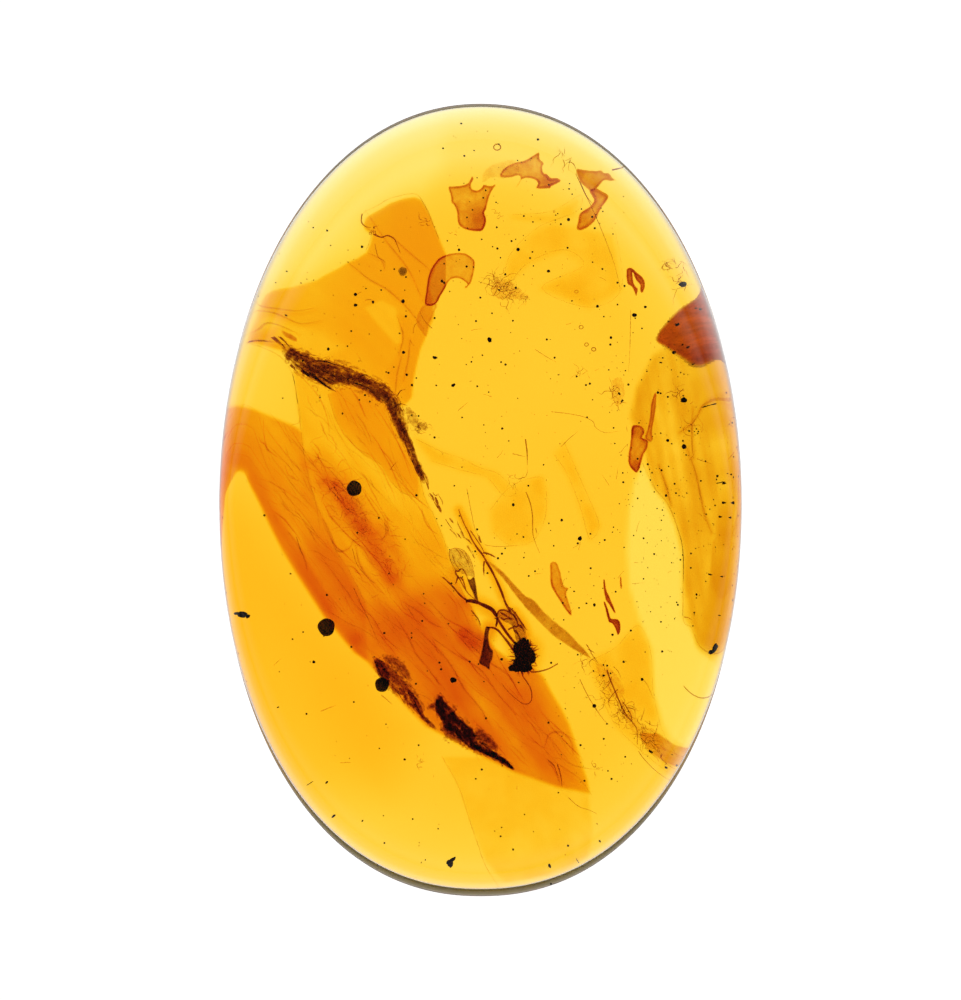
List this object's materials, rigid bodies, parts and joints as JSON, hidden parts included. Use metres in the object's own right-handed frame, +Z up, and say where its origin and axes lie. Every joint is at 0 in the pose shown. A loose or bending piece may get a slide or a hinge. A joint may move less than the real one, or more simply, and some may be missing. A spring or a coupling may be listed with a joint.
{
  "type": "insect in amber",
  "caption": "Polished oval of clear golden amber with a gnat, a twig, seed scales and curled resin films sealed inside; lies on its flat face",
  "frame": {"origin": "middle of the flat face that the stone lies on", "axes": "+Z up out of the domed face, +Y along the oval to its thinner end, +X across it"},
  "size_m": [0.0164, 0.025, 0.005],
  "materials": {
    "amber": "polished",
    "insect": "satin",
    "twig": "matte",
    "bud_scale": "matte",
    "leaf_scrap": "matte",
    "bark": "matte",
    "resin_film": "satin",
    "pellet": "satin"
  },
  "bodies": {
    "root": {"amber_lower": "amber", "amber_upper": "amber", "insect": "insect", "twig": "twig", "bud_scale": "bud_scale", "leaf_scrap": "leaf_scrap", "bark_flake": "bark", "film_shield": "resin_film", "film_crest": "resin_film", "film_corner": "resin_film", "film_hook": "resin_film", "film_leafy": "resin_film", "film_drop": "resin_film", "pellet_middle": "pellet", "pellet_side": "pellet", "pellet_leaf": "pellet", "pellet_top": "pellet"}
  },
  "joints": []
}
